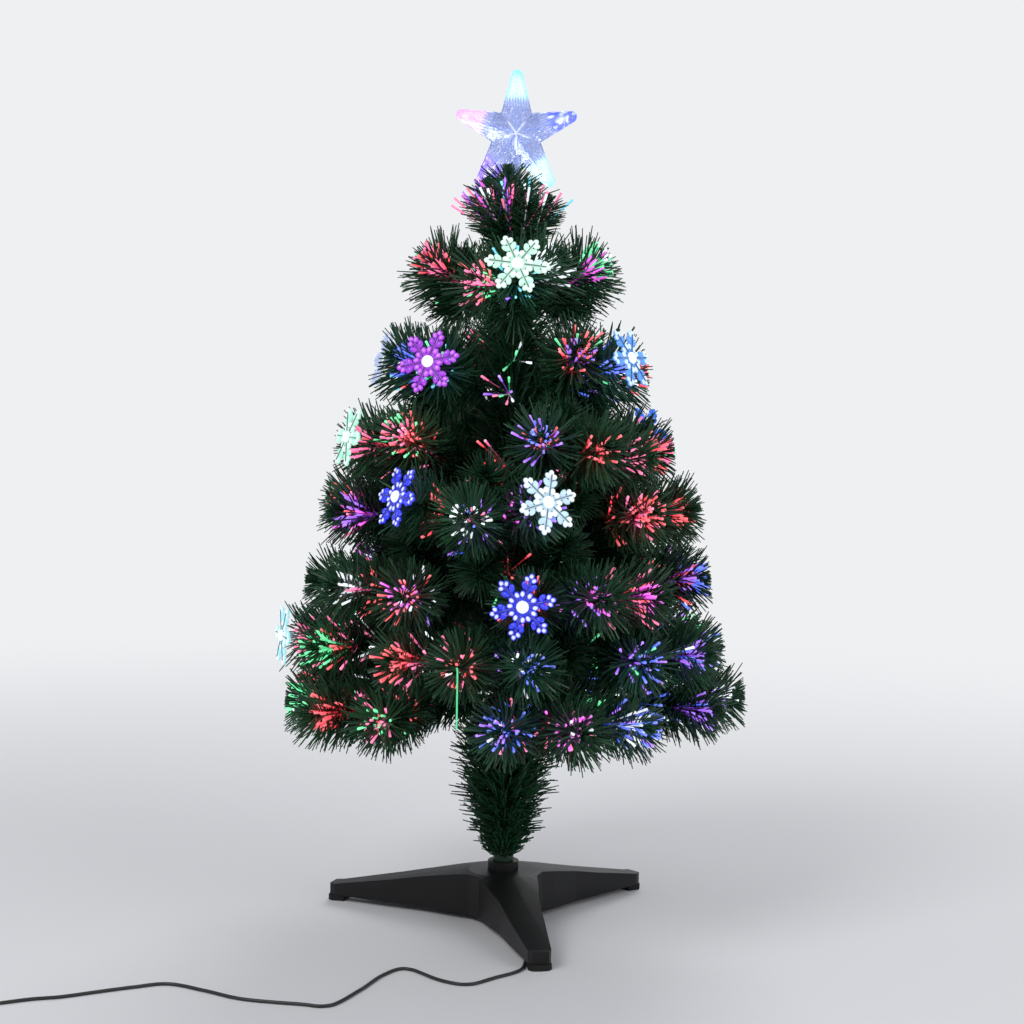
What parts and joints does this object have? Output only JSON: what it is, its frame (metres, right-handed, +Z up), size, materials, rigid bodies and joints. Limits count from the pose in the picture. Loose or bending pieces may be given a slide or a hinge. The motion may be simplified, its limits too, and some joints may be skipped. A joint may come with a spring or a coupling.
{
  "type": "led christmas tree",
  "caption": "Tabletop light-up Christmas tree with wired needle branches, light fibres, snowflake lamps, a star top, a tripod stand and a plug-in lead.",
  "frame": {"origin": "on the floor under the trunk, at the centre of the tree without its free lead", "axes": "+Z up along the trunk, -Y to the front, where the star faces, +X to the right seen from the front"},
  "size_m": [0.8915, 0.6488, 0.9],
  "materials": {
    "needles": "matte",
    "snowflake_plastic": "gloss",
    "star_plastic": "gloss",
    "led_harness": "gloss",
    "pad_rubber": "matte",
    "stand_plastic": "satin",
    "cover_plastic": "matte",
    "lamp_lens": "gloss",
    "circuit_board": "satin",
    "pole_plastic": "satin",
    "light_fibre": "gloss",
    "lead_pvc": "satin",
    "adapter_plastic": "satin",
    "pin_metal": "polished"
  },
  "bodies": {
    "stand": {"stand": "stand_plastic", "foot_pad_1": "pad_rubber", "foot_pad_2": "pad_rubber", "foot_pad_3": "pad_rubber", "light_module": "lamp_lens", "control_board": "circuit_board", "base_cover": "cover_plastic", "cord_grommet": "lead_pvc", "cord_lead": "lead_pvc", "cord_coil": "lead_pvc", "cord_tie": "lead_pvc", "power_adapter": "adapter_plastic", "adapter_pin_1": "pin_metal", "adapter_pin_2": "pin_metal"},
    "trunk": {"trunk_pole": "pole_plastic", "fibre_bundle": "light_fibre", "trunk_garland": "needles", "crown": "needles"},
    "star": {"star_front": "star_plastic", "star_rear": "star_plastic", "star_leds": "led_harness"},
    "limb_t1_1": {"branch_t1_1": "needles"},
    "limb_t1_2": {"branch_t1_2": "needles"},
    "limb_t1_3": {"branch_t1_3": "needles"},
    "limb_t1_4": {"branch_t1_4": "needles"},
    "limb_t1_5": {"branch_t1_5": "needles"},
    "limb_t2_1": {"branch_t2_1": "needles", "snowflake_8": "snowflake_plastic"},
    "limb_t2_2": {"branch_t2_2": "needles"},
    "limb_t2_3": {"branch_t2_3": "needles"},
    "limb_t2_4": {"branch_t2_4": "needles"},
    "limb_t2_5": {"branch_t2_5": "needles"},
    "limb_t3_1": {"branch_t3_1": "needles", "snowflake_7": "snowflake_plastic"},
    "limb_t3_2": {"branch_t3_2": "needles"},
    "limb_t3_3": {"branch_t3_3": "needles"},
    "limb_t3_4": {"branch_t3_4": "needles", "snowflake_11": "snowflake_plastic"},
    "limb_t4_1": {"branch_t4_1": "needles", "snowflake_5": "snowflake_plastic", "snowflake_6": "snowflake_plastic"},
    "limb_t4_2": {"branch_t4_2": "needles"},
    "limb_t4_3": {"branch_t4_3": "needles"},
    "limb_t4_4": {"branch_t4_4": "needles"},
    "limb_t5_1": {"branch_t5_1": "needles", "snowflake_4": "snowflake_plastic"},
    "limb_t5_2": {"branch_t5_2": "needles"},
    "limb_t5_3": {"branch_t5_3": "needles", "snowflake_10": "snowflake_plastic"},
    "limb_t5_4": {"branch_t5_4": "needles"},
    "limb_t6_1": {"branch_t6_1": "needles", "snowflake_2": "snowflake_plastic", "snowflake_9": "snowflake_plastic"},
    "limb_t6_2": {"branch_t6_2": "needles", "snowflake_3": "snowflake_plastic"},
    "limb_t6_3": {"branch_t6_3": "needles"},
    "limb_t7_1": {"branch_t7_1": "needles", "snowflake_1": "snowflake_plastic"},
    "limb_t7_2": {"branch_t7_2": "needles"},
    "limb_t7_3": {"branch_t7_3": "needles"}
  },
  "joints": [
    {"name": "trunk_lift", "type": "slide", "parent": "stand", "child": "trunk", "axis": [0, 0, 1], "range_m": [0, 0.045]},
    {"name": "star_lift", "type": "slide", "parent": "trunk", "child": "star", "axis": [0, 0, 1], "range_m": [0, 0.03]},
    {"name": "branch_fold", "type": "hinge", "parent": "trunk", "child": "limb_t1_1", "pos_m": [-0.01456, -0.01058, 0.2349], "axis": [-0.5878, 0.809, 0], "range_deg": [0, 28]},
    {"name": "fold_t1_2", "type": "hinge", "parent": "trunk", "child": "limb_t1_2", "pos_m": [0.00556, -0.01712, 0.2349], "axis": [-0.9511, -0.309, 0], "range_deg": [0, 28]},
    {"name": "fold_t1_3", "type": "hinge", "parent": "trunk", "child": "limb_t1_3", "pos_m": [0.018, 0, 0.2349], "axis": [0, -1, 0], "range_deg": [0, 28]},
    {"name": "fold_t1_4", "type": "hinge", "parent": "trunk", "child": "limb_t1_4", "pos_m": [0.00556, 0.01712, 0.2349], "axis": [0.9511, -0.309, 0], "range_deg": [0, 28]},
    {"name": "fold_t1_5", "type": "hinge", "parent": "trunk", "child": "limb_t1_5", "pos_m": [-0.01456, 0.01058, 0.2349], "axis": [0.5878, 0.809, 0], "range_deg": [0, 28]},
    {"name": "fold_t2_1", "type": "hinge", "parent": "trunk", "child": "limb_t2_1", "pos_m": [-0.0179, -0.00188, 0.2898], "axis": [-0.1045, 0.9945, 0], "range_deg": [0, 30]},
    {"name": "fold_t2_2", "type": "hinge", "parent": "trunk", "child": "limb_t2_2", "pos_m": [-0.00374, -0.01761, 0.2898], "axis": [-0.9781, 0.2079, 0], "range_deg": [0, 30]},
    {"name": "fold_t2_3", "type": "hinge", "parent": "trunk", "child": "limb_t2_3", "pos_m": [0.01559, -0.009, 0.2898], "axis": [-0.5, -0.866, 0], "range_deg": [0, 30]},
    {"name": "fold_t2_4", "type": "hinge", "parent": "trunk", "child": "limb_t2_4", "pos_m": [0.01338, 0.01204, 0.2898], "axis": [0.6691, -0.7431, 0], "range_deg": [0, 30]},
    {"name": "fold_t2_5", "type": "hinge", "parent": "trunk", "child": "limb_t2_5", "pos_m": [-0.00732, 0.01644, 0.2898], "axis": [0.9135, 0.4067, 0], "range_deg": [0, 30]},
    {"name": "fold_t3_1", "type": "hinge", "parent": "trunk", "child": "limb_t3_1", "pos_m": [0.00789, -0.01618, 0.3429], "axis": [-0.8988, -0.4384, 0], "range_deg": [0, 32]},
    {"name": "fold_t3_2", "type": "hinge", "parent": "trunk", "child": "limb_t3_2", "pos_m": [-0.01418, -0.01108, 0.3429], "axis": [-0.6157, 0.788, 0], "range_deg": [0, 32]},
    {"name": "fold_t3_3", "type": "hinge", "parent": "trunk", "child": "limb_t3_3", "pos_m": [0.01589, 0.00845, 0.3429], "axis": [0.4695, -0.8829, 0], "range_deg": [0, 32]},
    {"name": "fold_t3_4", "type": "hinge", "parent": "trunk", "child": "limb_t3_4", "pos_m": [-0.009, 0.01559, 0.3429], "axis": [0.866, 0.5, 0], "range_deg": [0, 32]},
    {"name": "fold_t4_1", "type": "hinge", "parent": "trunk", "child": "limb_t4_1", "pos_m": [-0.00405, -0.01754, 0.4113], "axis": [-0.9744, 0.225, 0], "range_deg": [0, 31]},
    {"name": "fold_t4_2", "type": "hinge", "parent": "trunk", "child": "limb_t4_2", "pos_m": [0.01754, -0.00405, 0.4113], "axis": [-0.225, -0.9744, 0], "range_deg": [0, 31]},
    {"name": "fold_t4_3", "type": "hinge", "parent": "trunk", "child": "limb_t4_3", "pos_m": [0.00405, 0.01754, 0.4113], "axis": [0.9744, -0.225, 0], "range_deg": [0, 31]},
    {"name": "fold_t4_4", "type": "hinge", "parent": "trunk", "child": "limb_t4_4", "pos_m": [-0.01754, 0.00405, 0.4113], "axis": [0.225, 0.9744, 0], "range_deg": [0, 31]},
    {"name": "fold_t5_1", "type": "hinge", "parent": "trunk", "child": "limb_t5_1", "pos_m": [-0.01644, -0.00732, 0.477], "axis": [-0.4067, 0.9135, 0], "range_deg": [0, 34]},
    {"name": "fold_t5_2", "type": "hinge", "parent": "trunk", "child": "limb_t5_2", "pos_m": [0.0098, -0.0151, 0.477], "axis": [-0.8387, -0.5446, 0], "range_deg": [0, 34]},
    {"name": "fold_t5_3", "type": "hinge", "parent": "trunk", "child": "limb_t5_3", "pos_m": [0.0151, 0.0098, 0.477], "axis": [0.5446, -0.8387, 0], "range_deg": [0, 34]},
    {"name": "fold_t5_4", "type": "hinge", "parent": "trunk", "child": "limb_t5_4", "pos_m": [-0.0098, 0.0151, 0.477], "axis": [0.8387, 0.5446, 0], "range_deg": [0, 34]},
    {"name": "fold_t6_1", "type": "hinge", "parent": "trunk", "child": "limb_t6_1", "pos_m": [-0.01559, -0.009, 0.5571], "axis": [-0.5, 0.866, 0], "range_deg": [0, 34]},
    {"name": "fold_t6_2", "type": "hinge", "parent": "trunk", "child": "limb_t6_2", "pos_m": [0.01492, -0.01007, 0.5571], "axis": [-0.5592, -0.829, 0], "range_deg": [0, 34]},
    {"name": "fold_t6_3", "type": "hinge", "parent": "trunk", "child": "limb_t6_3", "pos_m": [0.00126, 0.01796, 0.5571], "axis": [0.9976, -0.0698, 0], "range_deg": [0, 34]},
    {"name": "fold_t7_1", "type": "hinge", "parent": "trunk", "child": "limb_t7_1", "pos_m": [0.00063, -0.01799, 0.6516], "axis": [-0.9994, -0.0349, 0], "range_deg": [0, 28]},
    {"name": "fold_t7_2", "type": "hinge", "parent": "trunk", "child": "limb_t7_2", "pos_m": [0.01526, 0.00954, 0.6516], "axis": [0.5299, -0.848, 0], "range_deg": [0, 28]},
    {"name": "fold_t7_3", "type": "hinge", "parent": "trunk", "child": "limb_t7_3", "pos_m": [-0.01589, 0.00845, 0.6516], "axis": [0.4695, 0.8829, 0], "range_deg": [0, 28]}
  ],
  "couplings": [
    {"joint": "fold_t1_2", "follows": "branch_fold", "ratio": 1},
    {"joint": "fold_t1_3", "follows": "branch_fold", "ratio": 1},
    {"joint": "fold_t1_4", "follows": "branch_fold", "ratio": 1},
    {"joint": "fold_t1_5", "follows": "branch_fold", "ratio": 1},
    {"joint": "fold_t2_1", "follows": "branch_fold", "ratio": 1.0714},
    {"joint": "fold_t2_2", "follows": "branch_fold", "ratio": 1.0714},
    {"joint": "fold_t2_3", "follows": "branch_fold", "ratio": 1.0714},
    {"joint": "fold_t2_4", "follows": "branch_fold", "ratio": 1.0714},
    {"joint": "fold_t2_5", "follows": "branch_fold", "ratio": 1.0714},
    {"joint": "fold_t3_1", "follows": "branch_fold", "ratio": 1.1429},
    {"joint": "fold_t3_2", "follows": "branch_fold", "ratio": 1.1429},
    {"joint": "fold_t3_3", "follows": "branch_fold", "ratio": 1.1429},
    {"joint": "fold_t3_4", "follows": "branch_fold", "ratio": 1.1429},
    {"joint": "fold_t4_1", "follows": "branch_fold", "ratio": 1.1071},
    {"joint": "fold_t4_2", "follows": "branch_fold", "ratio": 1.1071},
    {"joint": "fold_t4_3", "follows": "branch_fold", "ratio": 1.1071},
    {"joint": "fold_t4_4", "follows": "branch_fold", "ratio": 1.1071},
    {"joint": "fold_t5_1", "follows": "branch_fold", "ratio": 1.2143},
    {"joint": "fold_t5_2", "follows": "branch_fold", "ratio": 1.2143},
    {"joint": "fold_t5_3", "follows": "branch_fold", "ratio": 1.2143},
    {"joint": "fold_t5_4", "follows": "branch_fold", "ratio": 1.2143},
    {"joint": "fold_t6_1", "follows": "branch_fold", "ratio": 1.2143},
    {"joint": "fold_t6_2", "follows": "branch_fold", "ratio": 1.2143},
    {"joint": "fold_t6_3", "follows": "branch_fold", "ratio": 1.2143},
    {"joint": "fold_t7_1", "follows": "branch_fold", "ratio": 1},
    {"joint": "fold_t7_2", "follows": "branch_fold", "ratio": 1},
    {"joint": "fold_t7_3", "follows": "branch_fold", "ratio": 1}
  ]
}
